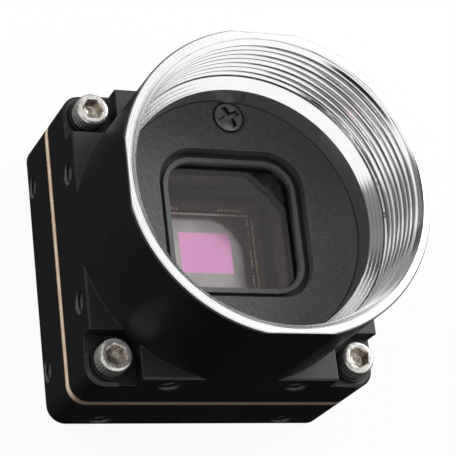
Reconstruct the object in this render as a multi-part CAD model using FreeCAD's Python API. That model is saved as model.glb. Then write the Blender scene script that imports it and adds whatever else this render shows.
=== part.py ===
"""Machine vision camera: a square two-part housing round a clamped sensor board,
with a threaded lens mount, a retained filter and a rear interface board.

Millimetres. The origin is the centre of the rear face and +Z is the optical axis,
pointing out of the lens mount. Run as: python3 part.py -> parts/NODE.step
"""
import FreeCAD, Part
import math
import os

# ---------------------------------------------------------------- driving dimensions
# lens thread, 1 inch by 32 threads per inch, which sets the size across
thread_minor_r = 12.25
thread_pitch = 25.4 / 32
thread_depth = 0.43          # crest to root
thread_len = 5.9             # end of the thread behind the flange face
groove_turns = 2             # every second turn of the thread is cut, as a plain ring
grooves = 3

# barrel and square body round the thread
barrel_wall = 1.33           # outside of the barrel, beyond the thread
flat_cut = 0.38              # the body's sides cut this much off the round barrel
corner_r = 1.65              # vertical corners of the body
edge_break = 0.15            # chamfer round the front corner faces
rear_chamfer = 0.35          # chamfer round the rear face

# stack along the optical axis
rear_depth = 6.05            # rear housing, from the rear face to the sensor board
board_t = 1.0                # sensor board, its edge shows between the housings
front_depth = 6.35           # front housing, from the sensor board to the corner faces
die_height = 1.024           # sensor surface above the board
flange_focal = 17.526        # lens flange to sensor surface, a fixed length of this mount

# lens mount ring, inside the barrel
barrel_skin = 0.58           # barrel left outside the ring
lip_step = 0.08              # barrel outside the ring's front lip
lip_t = 0.25
lead_in = 0.62               # lead-in chamfer beyond the thread
lead_in_depth = 0.5
relief = 0.2                 # relief groove beyond the thread
relief_len = 7.25            # end of the relief behind the flange face
bore_step = 0.89             # thread to the smooth bore behind the relief
seat_depth = 11.0            # filter seat behind the flange face

# filter, its gasket and the plate that holds them
plate_gap = 0.06             # plate to bore
plate_t = 1.45
window_w = 13.5
window_r = 3.4
gasket_window_gap = 0.61     # gasket lip to the plate's window
gasket_lip_w = 0.41
gasket_lip_h = 0.75          # above the filter
gasket_flange_t = 0.28
gasket_flange_w = 14.7
filter_w = 12.8
filter_t = 1.0
filter_ledge = 0.8           # overlap of the housing's ledge under the filter
seat_fit = 0.1               # clearance round seated flat pieces

# retainer screws
retainer_inset = 1.30        # screws to the plate's edge
retainer_angle = 87.2        # degrees from +X
retainer_head_r = 1.34
retainer_head_h = 0.6
retainer_sunk = 0.1          # head below the plate's face
retainer_len = 3.6           # shank
retainer_well_gap = 0.13     # head to the wall of its well
well_chamfer = 0.28
cross_w = 0.32               # cross recess
cross_span = 1.7
cross_depth = 0.38
cross_turn = 28              # degrees

# housing screws, M1.6 socket head, one in each corner
screw_r = 0.8
screw_head_r = 1.5
screw_head_h = 1.6
screw_head_chamfer = 0.14
screw_len = 10.0
socket_af = 1.5
socket_depth = 0.8
socket_turns = (10, 25, 0, 35)   # degrees, as each screw came to rest
washer_r = 1.75
washer_t = 0.3
washer_gap = 0.382           # washer to the barrel
screw_clear = 0.1            # clearance holes
thread_fit = 0.02            # shank in its threaded hole

# corner pockets round the housing screws
pocket_inset = 2.21          # screw to the pocket's walls
pocket_depth = 1.8
pocket_break = 0.24          # chamfer on the outer corner of the pocket floor
pocket_break_reach = 2.9     # length of that chamfer along each side

# tapped holes in the four sides, M2.5
side_hole_r = 1.05
side_hole_depth = 3.0
front_pair_inset = 7.35      # hole to the side round the corner
front_pair_drop = 2.0        # below the corner faces
rear_pair_inset = 4.5
rear_pair_z = 1.5
side_hole_wall = 0.45        # material beside the rear pairs inside the cavity

# inside of the housings
wall = 1.8                   # side walls
rear_wall = 1.4
front_cavity = 2.75          # depth of the front housing's cavity
cavity_r = 1.0
skirt_gap = 0.7              # sensor package to the light-tight skirt round it
skirt_wall = 1.1
shaft_top = 3.35             # top of the sensor room above the board
sensor_gasket_t = 0.8

# image sensor
package_w, package_h = 13.0, 11.8
package_floor = 0.324
package_rim = 1.5            # rim above the board
package_cavity_w, package_cavity_h = 10.7, 9.5
shelf_height = 0.9           # bond shelf above the board
die_w, die_h = 8.9, 7.66
die_gap = 0.2
finger_w, finger_l, finger_t = 0.15, 0.26, 0.03
finger_pitch = 0.274
finger_groups = ((-3.94, 7), (1.75, 9))      # start and number of each group
finger_gap = 0.05            # finger to the edge of its shelf
ground_strip_w, ground_strip_l = 0.22, 7.0
cover_t = 0.5
cover_w, cover_h = 12.2, 11.0

# processor board, behind the sensor board
stack_gap = 2.15             # between the two boards
processor_t = 0.8
processor_h = 9.6
board_edge_gap = 0.5         # board to the cavity's walls
board_clear = 0.2            # board to the corner posts
processor_chip_w, processor_chip_t = 7.6, 1.1
processor_chip_x = 1.0       # off the middle, away from the status light
memory_w, memory_h, memory_t = 5.0, 4.0, 0.9
oscillator_w, oscillator_h, oscillator_t = 2.5, 2.0, 0.8
inductor_w, inductor_t = 3.2, 1.2
board_screw_inset_x, board_screw_inset_y = 1.6, 2.9   # from the board's sides and inner edge
board_screw_head_r, board_screw_head_h = 1.4, 0.6
board_screw_len = 2.3
post_r = 1.6

# mezzanine connector between the boards
mezzanine_w, mezzanine_h = 9.4, 3.2
mezzanine_wall = 0.7
mezzanine_base = 0.75
mezzanine_socket_t = 1.3
mezzanine_fit = 0.08
mezzanine_inset = 2.7        # from the board's outer edge

# rear connectors
connector_recess = 0.3       # connector face below the rear face
connector_gap = 0.15         # connector to its opening
usb_inset = 7.7              # from the body's side
usb_w, usb_h = 12.8, 2.9
usb_waist_x, usb_waist_w, usb_waist_step = 0.9, 0.7, 0.45
usb_sheet = 0.25
usb_lobe_r = 0.5
usb_base_t = 0.9
usb_tongue_t = 0.6
usb_tongue_back = 0.9        # tongue below the connector's face
usb_tongue_gaps = (2.4, 1.8) # each tongue is this much narrower than its lobe
usb_pins = 5
usb_pin_w, usb_pin_t, usb_pin_l = 0.25, 0.08, 2.6
lock_half = 9.4              # locking screw holes, M2
lock_hole_r = 0.8
lock_depth = 3.2
lock_boss_r = 1.8
io_step = 4.3                # from the data connector
io_w, io_h = 10.0, 3.4
io_wall = 0.5
io_floor = 1.2
io_pins_n = 6
io_pitch = 1.25
io_pin_w = 0.4
io_pin_back = 0.8

# status light
led_x, led_step = 6.0, 4.5   # from the middle, and from the board's inner edge
led_w, led_h, led_t = 1.6, 0.8, 0.6
pipe_r = 0.75
pipe_head_r = 1.1
pipe_head_t = 0.5

# small chip capacitors
cap_w, cap_h, cap_t = 1.0, 0.5, 0.5
cap_step = 1.6
sensor_cap_inset = 1.5       # capacitor rows to the cavity's walls
sensor_cap_rows = 5
memory_cap_rows = 3
inductor_cap_rows = 3        # on each side of the inductor

# ---------------------------------------------------------------- modelling
overcut = 1.0                # cutting shapes run this far past the faces they open

# ---------------------------------------------------------------- derived sizes
barrel_r = thread_minor_r + barrel_wall
half = barrel_r - flat_cut                 # half the side of the body
ring_r = barrel_r - barrel_skin
lip_r = barrel_r - lip_step
bore_r = thread_minor_r - bore_step
screw_xy = (barrel_r + washer_gap + washer_r) / math.sqrt(2)
pocket_wall = screw_xy - pocket_inset
cavity_half = half - wall
skirt_room = package_w + 2 * skirt_gap
skirt_w = skirt_room + 2 * skirt_wall
board_z = rear_depth                       # rear face of the sensor board
sensor_z = rear_depth + board_t            # front face of the sensor board
face_z = sensor_z + front_depth            # corner faces
mount_z = sensor_z + die_height + flange_focal
seat_z = mount_z - seat_depth              # filter seat
plate_z = seat_z + plate_t                 # front of the retainer plate
pocket_z = face_z - pocket_depth
plate_r = bore_r - plate_gap
retainer_r = plate_r - retainer_inset
processor_z = board_z - stack_gap          # front face of the processor board
processor_back = processor_z - processor_t
processor_high = cavity_half - board_edge_gap
processor_low = processor_high - processor_h
processor_mid = processor_low + processor_h / 2
board_screw_x = processor_high - board_screw_inset_x
board_screw_y = processor_low + board_screw_inset_y
mezzanine_y = processor_high - mezzanine_inset
usb_y = usb_inset - half
io_y = usb_y + io_step
led_y = processor_low + led_step
corners = [(sx * screw_xy, sy * screw_xy) for sx in (1, -1) for sy in (1, -1)]
retainers = [
    (s * retainer_r * math.cos(math.radians(retainer_angle)),
     s * retainer_r * math.sin(math.radians(retainer_angle)))
    for s in (1, -1)
]


# ---------------------------------------------------------------- shape helpers
def vec(x, y, z=0.0):
    return FreeCAD.Vector(x, y, z)


def rounded_wire(hx, hy, r, z, cx=0.0, cy=0.0):
    """Rectangle of half sizes hx, hy with corners rounded to r."""
    edges = []
    turn = [(1, 1), (-1, 1), (-1, -1), (1, -1)]
    for i, (sx, sy) in enumerate(turn):
        ox, oy = cx + sx * (hx - r), cy + sy * (hy - r)
        start = math.radians(90 * i)
        points = [
            vec(ox + r * math.cos(start + k * math.pi / 4),
                oy + r * math.sin(start + k * math.pi / 4), z)
            for k in range(3)
        ]
        if edges:
            edges.append(Part.LineSegment(last, points[0]).toShape())
        else:
            first = points[0]
        edges.append(Part.Arc(*points).toShape())
        last = points[2]
    edges.append(Part.LineSegment(last, first).toShape())
    return Part.Wire(edges)


def slab(hx, hy, r, z0, z1, cx=0.0, cy=0.0):
    """Rounded rectangular prism between two heights."""
    face = Part.Face(rounded_wire(hx, hy, r, z0, cx, cy))
    return face.extrude(vec(0, 0, z1 - z0))


def taper(h0, r0, z0, h1, r1, z1):
    """Square prism that changes its half width and corner radius."""
    wires = [rounded_wire(h0, h0, r0, z0), rounded_wire(h1, h1, r1, z1)]
    return Part.makeLoft(wires, True, True)


def cyl(r, z0, z1, x=0.0, y=0.0):
    return Part.makeCylinder(r, z1 - z0, vec(x, y, z0))


def cone(r0, r1, z0, z1, x=0.0, y=0.0):
    return Part.makeCone(r0, r1, z1 - z0, vec(x, y, z0))


def block(x0, x1, y0, y1, z0, z1):
    return Part.makeBox(x1 - x0, y1 - y0, z1 - z0, vec(x0, y0, z0))


def chip(w, h, z0, z1, cx=0.0, cy=0.0):
    """Plain block centred on a point."""
    return block(cx - w / 2, cx + w / 2, cy - h / 2, cy + h / 2, z0, z1)


def fuse(shapes):
    return shapes[0].multiFuse(shapes[1:]).removeSplitter()


def cut(shape, tools):
    return shape.cut(Part.makeCompound(tools)).removeSplitter()


def lathe(profile):
    """Solid of revolution about Z from (radius, height) points."""
    points = [vec(r, 0, z) for r, z in profile]
    face = Part.Face(Part.makePolygon(points + points[:1]))
    return face.revolve(vec(0, 0, 0), vec(0, 0, 1), 360)


def four_sides(shape):
    """A shape made for the +X side, repeated on the four sides."""
    sides = []
    for k in range(4):
        side = shape.copy()
        side.rotate(vec(0, 0, 0), vec(0, 0, 1), 90 * k)
        sides.append(side)
    return sides


def corner_blocks(inner, z0, z1):
    """Square blocks in the four corners, from |x| and |y| = inner outwards."""
    out = half + overcut
    blocks = []
    for sx in (1, -1):
        for sy in (1, -1):
            xs = sorted((sx * inner, sx * out))
            ys = sorted((sy * inner, sy * out))
            blocks.append(block(xs[0], xs[1], ys[0], ys[1], z0, z1))
    return blocks


def centred_row(pitch, count):
    """Places along a row about its middle."""
    return [(k - (count - 1) / 2) * pitch for k in range(count)]


def side_holes(inset, z):
    """Pairs of tapped holes in the four sides, as solids to cut."""
    holes = []
    for s in (1, -1):
        mouth = vec(half, s * (half - inset), z)
        hole = Part.makeCylinder(side_hole_r, side_hole_depth, mouth, vec(-1, 0, 0))
        holes += four_sides(hole)
    return holes


def hexagon(af, z0, z1, x, y, turn=0):
    """Hexagonal prism measured across its flats, turned by some degrees."""
    r = af / math.sqrt(3)
    points = [
        vec(x + r * math.cos(math.radians(60 * k + turn)),
            y + r * math.sin(math.radians(60 * k + turn)), z0)
        for k in range(6)
    ]
    face = Part.Face(Part.makePolygon(points + points[:1]))
    return face.extrude(vec(0, 0, z1 - z0))


# ---------------------------------------------------------------- housings
def front_housing():
    """Square body with four corner pockets, running into the round barrel."""
    chamfer_z = face_z - edge_break
    body = fuse([
        slab(half, half, corner_r, sensor_z, chamfer_z),
        taper(half, corner_r, chamfer_z, half - edge_break, corner_r - edge_break, face_z),
    ])
    barrel_top = mount_z - lip_t
    barrel = cyl(barrel_r, sensor_z, barrel_top)
    side_flats = block(-half, half, -half, half, sensor_z, barrel_top)
    pockets = fuse([
        b.cut(cyl(barrel_r, pocket_z, face_z)) for b in corner_blocks(pocket_wall, pocket_z, face_z)
    ])
    body = cut(body, [pockets] + pocket_chamfers())
    shape = fuse([body, barrel.common(side_flats)])

    shaft_w = filter_w - 2 * filter_ledge
    filter_room = filter_w + 2 * seat_fit
    cavity_z = sensor_z + front_cavity
    shaft_z = sensor_z + shaft_top
    cavity = slab(cavity_half, cavity_half, cavity_r, sensor_z, cavity_z)
    posts = corner_blocks(pocket_wall, sensor_z, cavity_z)
    skirt = chip(skirt_w, skirt_w, sensor_z + sensor_gasket_t, cavity_z)
    cavity = cut(cavity, posts + [skirt])
    tools = [
        cavity,
        chip(skirt_room, skirt_room, sensor_z, shaft_z),
        slab(shaft_w / 2, shaft_w / 2, cavity_r, shaft_z, seat_z),
        chip(filter_room, filter_room, seat_z - filter_t, seat_z),
        cyl(ring_r, seat_z, barrel_top),
    ]
    tools += side_holes(front_pair_inset, face_z - front_pair_drop)
    for x, y in corners:
        tools.append(cyl(screw_r + screw_clear, sensor_z, pocket_z, x, y))
    for x, y in retainers:
        bottom = seat_z + plate_t - retainer_sunk - retainer_head_h - retainer_len - screw_clear
        tools.append(cyl(screw_r + thread_fit, bottom, seat_z, x, y))
    return cut(shape, tools)


def pocket_chamfers():
    """Chamfer on the outer corner of each pocket floor, run out on both sides."""
    z0 = pocket_z - pocket_break
    outside = slab(half + overcut, half + overcut, corner_r, z0, pocket_z)
    inside = taper(half, corner_r, z0, half - pocket_break, corner_r - pocket_break, pocket_z)
    rim = outside.cut(inside)
    reach = (2 * half - pocket_break_reach) / math.sqrt(2)
    diamond = block(-reach, reach, -reach, reach, z0, pocket_z)
    diamond.rotate(vec(0, 0, 0), vec(0, 0, 1), 45)
    return [rim.cut(diamond)]


def rear_housing():
    """Shallow cover with corner posts, board posts and the connector openings."""
    body = fuse([
        taper(half - rear_chamfer, corner_r - rear_chamfer, 0, half, corner_r, rear_chamfer),
        slab(half, half, corner_r, rear_chamfer, rear_depth),
    ])
    cavity = slab(cavity_half, cavity_half, cavity_r, rear_wall, rear_depth)
    boss = half - rear_pair_inset - side_hole_r - side_hole_wall
    boss_top = rear_pair_z + side_hole_r + side_hole_wall
    keep = corner_blocks(pocket_wall, rear_wall, rear_depth)
    keep += corner_blocks(boss, rear_wall, boss_top)
    for s in (1, -1):
        keep.append(cyl(lock_boss_r, rear_wall, lock_depth + rear_wall / 2, s * lock_half, usb_y))
        keep.append(cyl(post_r, rear_wall, processor_back, s * board_screw_x, board_screw_y))
    cavity = cut(cavity, keep)
    tools = [cavity, usb_outline(connector_gap, -overcut, rear_wall + overcut)]
    io_room = (io_w + 2 * connector_gap, io_h + 2 * connector_gap)
    tools.append(chip(*io_room, -overcut, rear_wall + overcut, 0, io_y))
    tools.append(cyl(pipe_r + thread_fit, -overcut, rear_wall + overcut, led_x, led_y))
    tools += side_holes(rear_pair_inset, rear_pair_z)
    for s in (1, -1):
        tools.append(cyl(lock_hole_r, -overcut, lock_depth, s * lock_half, usb_y))
        screw_end = processor_z - board_screw_len - screw_clear
        hole = cyl(screw_r + thread_fit, screw_end, processor_back, s * board_screw_x, board_screw_y)
        tools.append(hole)
    screw_bottom = pocket_z + washer_t - screw_len - screw_clear
    for x, y in corners:
        tools.append(cyl(screw_r + thread_fit, screw_bottom, rear_depth, x, y))
    return cut(body, tools)


def lens_mount_ring():
    """Turned ring: lip, lead-in, grooved thread, relief and smooth bore."""
    top = mount_z
    relief_r = thread_minor_r + relief
    ring = lathe([
        (thread_minor_r + lead_in, top),
        (lip_r, top),
        (lip_r, top - lip_t),
        (ring_r, top - lip_t),
        (ring_r, seat_z),
        (bore_r, seat_z),
        (bore_r, top - relief_len),
        (relief_r, top - relief_len),
        (relief_r, top - thread_len),
        (thread_minor_r, top - thread_len),
        *thread_grooves(top),
        (thread_minor_r, top - lead_in_depth),
    ])
    return ring.common(block(-half, half, -half, half, seat_z, top))


def thread_grooves(top):
    """Profile of the thread's main grooves, spaced evenly about its middle, lowest first."""
    middle = top - (thread_len + lead_in_depth) / 2
    mouth = 3 * thread_pitch / 4
    points = []
    for z in centred_row(groove_turns * thread_pitch, grooves):
        points += [
            (thread_minor_r, middle + z - mouth / 2),
            (thread_minor_r + thread_depth, middle + z),
            (thread_minor_r, middle + z + mouth / 2),
        ]
    return points


# ---------------------------------------------------------------- filter
def retainer_plate():
    """Disc with a rounded window, a rebate for the gasket and two open screw wells."""
    window = window_w / 2
    rebate = gasket_flange_w / 2 + seat_fit
    rebate_r = window_r + rebate - window
    well_z = plate_z - retainer_sunk - retainer_head_h
    well_r = retainer_head_r + retainer_well_gap
    tools = [
        slab(window, window, window_r, seat_z, plate_z),
        slab(rebate, rebate, rebate_r, seat_z, seat_z + gasket_flange_t),
    ]
    for x, y in retainers:
        tools.append(cyl(screw_r + screw_clear, seat_z, plate_z, x, y))
        tools.append(cyl(well_r, well_z, plate_z, x, y))
        tools.append(cone(well_r, well_r + well_chamfer, plate_z - well_chamfer, plate_z, x, y))
    return cut(cyl(plate_r, seat_z, plate_z), tools)


def retainer_screws():
    """Two low cross-recess screws."""
    screws = []
    head_top = plate_z - retainer_sunk
    head_z = head_top - retainer_head_h
    for x, y in retainers:
        crown = retainer_head_h / 3
        head = fuse([
            cyl(retainer_head_r, head_z, head_top - crown, x, y),
            cone(retainer_head_r, retainer_head_r - crown, head_top - crown, head_top, x, y),
            cyl(screw_r, head_z - retainer_len, head_z, x, y),
        ])
        arms = []
        for angle in (cross_turn, cross_turn + 90):
            arm = chip(cross_span, cross_w, head_top - cross_depth, head_top + overcut, x, y)
            arm.rotate(vec(x, y, 0), vec(0, 0, 1), angle)
            arms.append(arm)
        screws.append(cut(head, arms))
    return Part.makeCompound(screws)


def filter_gasket():
    """Flanged rubber frame: the flange lies on the filter, the lip stands in the window."""
    lip = window_w / 2 - gasket_window_gap
    lip_corner = window_r - gasket_window_gap
    inner = lip - gasket_lip_w
    flange = gasket_flange_w / 2
    flange_r = window_r + flange - window_w / 2
    outside = fuse([
        slab(flange, flange, flange_r, seat_z, seat_z + gasket_flange_t),
        slab(lip, lip, lip_corner, seat_z, seat_z + gasket_lip_h),
    ])
    opening = slab(inner, inner, lip_corner - gasket_lip_w, seat_z, seat_z + gasket_lip_h)
    return cut(outside, [opening])


def ir_filter():
    return chip(filter_w, filter_w, seat_z - filter_t, seat_z)


# ---------------------------------------------------------------- image sensor
def sensor_gasket():
    """Foam frame between the sensor board and the housing's skirt."""
    top = sensor_z + sensor_gasket_t
    room = chip(skirt_room, skirt_room, sensor_z, top)
    return cut(chip(skirt_w, skirt_w, sensor_z, top), [room])


def sensor_package():
    """Ceramic carrier with a stepped cavity: a floor for the die and a bond shelf."""
    rim_z = sensor_z + package_rim
    body = chip(package_w, package_h, sensor_z, rim_z)
    shelf = chip(package_cavity_w, package_cavity_h, sensor_z + shelf_height, rim_z)
    well = chip(die_w + 2 * die_gap, die_h + 2 * die_gap, sensor_z + package_floor, rim_z)
    return cut(body, [shelf, well])


def sensor_die():
    return chip(die_w, die_h, sensor_z + package_floor, sensor_z + die_height)


def bond_fingers():
    """Gold on the bond shelf: groups of fingers above and below the die, a strip on each side."""
    z0 = sensor_z + shelf_height
    top = z0 + finger_t
    gold = []
    row_y = die_h / 2 + die_gap + finger_gap + finger_l / 2
    strip_x = die_w / 2 + die_gap + finger_gap + ground_strip_w / 2
    for s in (1, -1):
        for start, count in finger_groups:
            for k in range(count):
                x = start + k * finger_pitch
                gold.append(chip(finger_w, finger_l, z0, top, x, s * row_y))
        gold.append(chip(ground_strip_w, ground_strip_l, z0, top, s * strip_x, 0))
    return Part.makeCompound(gold)


def sensor_cover_glass():
    z0 = sensor_z + package_rim
    return chip(cover_w, cover_h, z0, z0 + cover_t)


def sensor_board():
    """Board clamped between the housings, its plated edge flush with their sides."""
    board = slab(half, half, corner_r, board_z, sensor_z)
    return cut(board, [cyl(screw_r + screw_clear, board_z, sensor_z, x, y) for x, y in corners])


def sensor_capacitors():
    """Capacitor rows on the sensor board, outside the skirt."""
    caps = []
    for y in centred_row(cap_step, sensor_cap_rows):
        row = chip(cap_w, cap_h, sensor_z, sensor_z + cap_t, cavity_half - sensor_cap_inset, y)
        caps += four_sides(row)
    return Part.makeCompound(caps)


# ---------------------------------------------------------------- processor board
def processor_board():
    """Second board, notched round the corner posts, screwed to the rear housing."""
    board = chip(2 * processor_high, processor_h, processor_back, processor_z, 0, processor_mid)
    tools = corner_blocks(pocket_wall - board_clear, processor_back, processor_z)
    for s in (1, -1):
        hole = cyl(screw_r + screw_clear, processor_back, processor_z, s * board_screw_x, board_screw_y)
        tools.append(hole)
    return cut(board, tools)


def processor_chip():
    low = processor_back - processor_chip_t
    size = processor_chip_w
    return chip(size, size, low, processor_back, -processor_chip_x, processor_mid)


def thermal_pad():
    top = processor_back - processor_chip_t
    size = processor_chip_w
    return chip(size, size, rear_wall, top, -processor_chip_x, processor_mid)


def memory_chip():
    y = processor_low + memory_h / 2 + board_clear
    return chip(memory_w, memory_h, processor_z, processor_z + memory_t, -memory_w / 2, y)


def clock_oscillator():
    y = processor_low + oscillator_h / 2 + board_clear
    x = oscillator_w + board_clear
    return chip(oscillator_w, oscillator_h, processor_z, processor_z + oscillator_t, x, y)


def power_inductor():
    """Inductor on the back of the sensor board, beyond the rear connectors."""
    y = usb_y - usb_h / 2 - inductor_w / 2 - board_clear
    return chip(inductor_w, inductor_w, board_z - inductor_t, board_z, 0, y)


def board_capacitors():
    """Capacitors round the memory chip and beside the inductor."""
    caps = []
    for y in centred_row(cap_step, memory_cap_rows):
        x = -memory_w - cap_w
        row_y = processor_low + memory_h / 2 + board_clear + y / 2
        caps.append(chip(cap_w, cap_h, processor_z, processor_z + cap_t, x, row_y))
    y = usb_y - usb_h / 2 - inductor_w / 2 - board_clear
    for k in range(inductor_cap_rows):
        for s in (1, -1):
            x = s * (inductor_w + k * cap_step)
            caps.append(chip(cap_w, cap_h, board_z - cap_t, board_z, x, y))
    return Part.makeCompound(caps)


def board_screws():
    """Two pan head screws that hold the processor board to its posts."""
    screws = []
    for s in (1, -1):
        x, y = s * board_screw_x, board_screw_y
        top = processor_z + board_screw_head_h
        screws.append(fuse([
            cyl(board_screw_head_r, processor_z, top, x, y),
            cyl(screw_r, processor_z - board_screw_len, processor_z, x, y),
        ]))
    return Part.makeCompound(screws)


def mezzanine_socket():
    """Socket on the back of the sensor board, open towards the processor board."""
    low = board_z - mezzanine_socket_t
    body = chip(mezzanine_w, mezzanine_h, low, board_z, 0, mezzanine_y)
    slot_w = mezzanine_w - 2 * mezzanine_wall
    slot_h = mezzanine_h - 2 * mezzanine_wall
    return cut(body, [chip(slot_w, slot_h, low, board_z - mezzanine_wall / 2, 0, mezzanine_y)])


def mezzanine_plug():
    """Plug on the processor board, its blade in the socket's slot."""
    base_z = processor_z + mezzanine_base
    blade_w = mezzanine_w - 2 * mezzanine_wall - 2 * mezzanine_fit
    blade_h = mezzanine_h - 2 * mezzanine_wall - 2 * mezzanine_fit
    blade_z = board_z - mezzanine_wall / 2 - mezzanine_fit
    return fuse([
        chip(mezzanine_w, mezzanine_h, processor_z, base_z, 0, mezzanine_y),
        chip(blade_w, blade_h, base_z, blade_z, 0, mezzanine_y),
    ])


# ---------------------------------------------------------------- rear connectors
def usb_outline(grow, z0, z1):
    """Two-lobed outline of the data connector, grown or shrunk all round."""
    half_w, half_h = usb_w / 2 + grow, usb_h / 2 + grow
    r = max(usb_lobe_r + grow, usb_lobe_r / 4)
    left_end = usb_waist_x + grow
    right_start = usb_waist_x + usb_waist_w - grow
    waist_h = half_h - usb_waist_step
    left_mid = (left_end - half_w) / 2
    right_mid = (right_start + half_w) / 2
    return fuse([
        slab((left_end + half_w) / 2, half_h, r, z0, z1, left_mid, usb_y),
        slab((half_w - right_start) / 2, half_h, r, z0, z1, right_mid, usb_y),
        block(left_mid, right_mid, usb_y - waist_h, usb_y + waist_h, z0, z1),
    ])


def usb_shell():
    """Folded sheet shell, soldered to the sensor board and open to the rear."""
    outer = usb_outline(0, connector_recess, board_z)
    return cut(outer, [usb_outline(-usb_sheet, connector_recess, board_z)])


def usb_lobes():
    """Centre and width of the tongue in each lobe."""
    left_w = usb_waist_x + usb_w / 2
    right_w = usb_w / 2 - usb_waist_x - usb_waist_w
    left = ((usb_waist_x - usb_w / 2) / 2, left_w - usb_tongue_gaps[0])
    right = ((usb_waist_x + usb_waist_w + usb_w / 2) / 2, right_w - usb_tongue_gaps[1])
    return [left, right]


def usb_tongue():
    """Insulator: a base across the shell and a tongue in each lobe."""
    base_z = board_z - usb_base_t
    end_z = connector_recess + usb_tongue_back
    width, height = usb_w - 2 * usb_sheet, usb_h - 2 * usb_sheet - 2 * usb_waist_step
    parts = [chip(width, height, base_z, board_z, 0, usb_y)]
    for x, w in usb_lobes():
        parts.append(chip(w, usb_tongue_t, end_z, base_z, x, usb_y))
    return fuse(parts)


def usb_contacts():
    """Gold contact strips on the tongues."""
    strips = []
    end_z = connector_recess + usb_tongue_back + usb_pin_w
    y = usb_y + usb_tongue_t / 2 + usb_pin_t / 2
    for x, w in usb_lobes():
        pitch = w / usb_pins
        for dx in centred_row(pitch, usb_pins):
            strips.append(chip(usb_pin_w, usb_pin_t, end_z, end_z + usb_pin_l, x + dx, y))
    return Part.makeCompound(strips)


def io_header():
    """Shrouded header of the trigger and power connector, with a polarising slot."""
    body = chip(io_w, io_h, connector_recess, board_z, 0, io_y)
    inner_x, inner_y = io_w / 2 - io_wall, io_h / 2 - io_wall
    room = chip(2 * inner_x, 2 * inner_y, connector_recess, board_z - io_floor, 0, io_y)
    slot = block(-io_pitch / 2, io_pitch / 2, io_y, io_y + io_h, connector_recess,
                 board_z - io_floor - io_pitch)
    pins = [
        chip(io_pin_w, io_pin_w, connector_recess, board_z, x, io_y)
        for x in centred_row(io_pitch, io_pins_n)
    ]
    return cut(body, [room, slot] + pins)


def io_pins():
    low = connector_recess + io_pin_back
    return Part.makeCompound([
        chip(io_pin_w, io_pin_w, low, board_z, x, io_y) for x in centred_row(io_pitch, io_pins_n)
    ])


def status_led():
    return chip(led_w, led_h, processor_back - led_t, processor_back, led_x, led_y)


def light_pipe():
    """Clear pin from the status light to the rear face, held by its head."""
    top = processor_back - led_t
    head = cyl(pipe_head_r, top - pipe_head_t, top, led_x, led_y)
    return fuse([head, cyl(pipe_r, 0, top - pipe_head_t, led_x, led_y)])


# ---------------------------------------------------------------- housing fasteners
def housing_screws():
    """Four socket head screws from the corner pockets into the rear housing."""
    screws = []
    head_z = pocket_z + washer_t
    top = head_z + screw_head_h
    break_z = top - screw_head_chamfer
    for (x, y), turn in zip(corners, socket_turns):
        socket = hexagon(socket_af, top - socket_depth, top + overcut, x, y, turn)
        screw = fuse([
            cyl(screw_head_r, head_z, break_z, x, y),
            cone(screw_head_r, screw_head_r - screw_head_chamfer, break_z, top, x, y),
            cyl(screw_r, head_z - screw_len, head_z, x, y),
        ])
        screws.append(cut(screw, [socket]))
    return Part.makeCompound(screws)


def screw_washers():
    rings = []
    for x, y in corners:
        disc = cyl(washer_r, pocket_z, pocket_z + washer_t, x, y)
        rings.append(cut(disc, [cyl(screw_r + screw_clear, pocket_z, pocket_z + washer_t, x, y)]))
    return Part.makeCompound(rings)


# ---------------------------------------------------------------- export
PIECES = [
    front_housing, rear_housing, lens_mount_ring,
    retainer_plate, retainer_screws, filter_gasket, ir_filter,
    sensor_gasket, sensor_package, sensor_die, bond_fingers, sensor_cover_glass,
    sensor_board, sensor_capacitors,
    processor_board, processor_chip, thermal_pad, memory_chip, clock_oscillator,
    power_inductor, board_capacitors, board_screws,
    mezzanine_socket, mezzanine_plug,
    usb_shell, usb_tongue, usb_contacts, io_header, io_pins,
    status_led, light_pipe,
    housing_screws, screw_washers,
]


def main():
    os.makedirs("parts", exist_ok=True)
    for piece in PIECES:
        shape = piece()
        shape.exportStep("parts/" + piece.__name__ + ".step")
        solids = len(shape.Solids)
        print("%-20s %3d solid(s) %9.3f mm3 valid %s"
              % (piece.__name__, solids, shape.Volume, shape.isValid()))


main()
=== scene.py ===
"""Looks of a machine vision camera: threaded ring, sensor, materials, light and viewpoint."""

import math

import bmesh
import bpy
from mathutils import Matrix, Vector

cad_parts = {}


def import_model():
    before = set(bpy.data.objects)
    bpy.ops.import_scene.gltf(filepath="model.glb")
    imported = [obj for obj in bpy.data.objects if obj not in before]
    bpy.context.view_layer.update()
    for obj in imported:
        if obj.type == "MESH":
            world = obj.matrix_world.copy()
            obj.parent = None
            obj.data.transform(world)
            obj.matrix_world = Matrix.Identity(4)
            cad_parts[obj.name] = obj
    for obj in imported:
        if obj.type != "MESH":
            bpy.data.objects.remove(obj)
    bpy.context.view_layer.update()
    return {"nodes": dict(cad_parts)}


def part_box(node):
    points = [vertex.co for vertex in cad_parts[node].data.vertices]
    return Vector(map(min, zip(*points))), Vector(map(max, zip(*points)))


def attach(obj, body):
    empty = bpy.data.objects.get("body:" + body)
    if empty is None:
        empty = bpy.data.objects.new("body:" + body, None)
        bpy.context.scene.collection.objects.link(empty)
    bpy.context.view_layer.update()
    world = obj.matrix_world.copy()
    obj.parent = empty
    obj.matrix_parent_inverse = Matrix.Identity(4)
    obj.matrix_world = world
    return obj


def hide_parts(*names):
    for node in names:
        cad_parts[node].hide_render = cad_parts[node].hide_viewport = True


MM = 0.001
TINY = 1e-8                   # points this near are one point
TURN = 2 * math.pi
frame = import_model()

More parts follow.
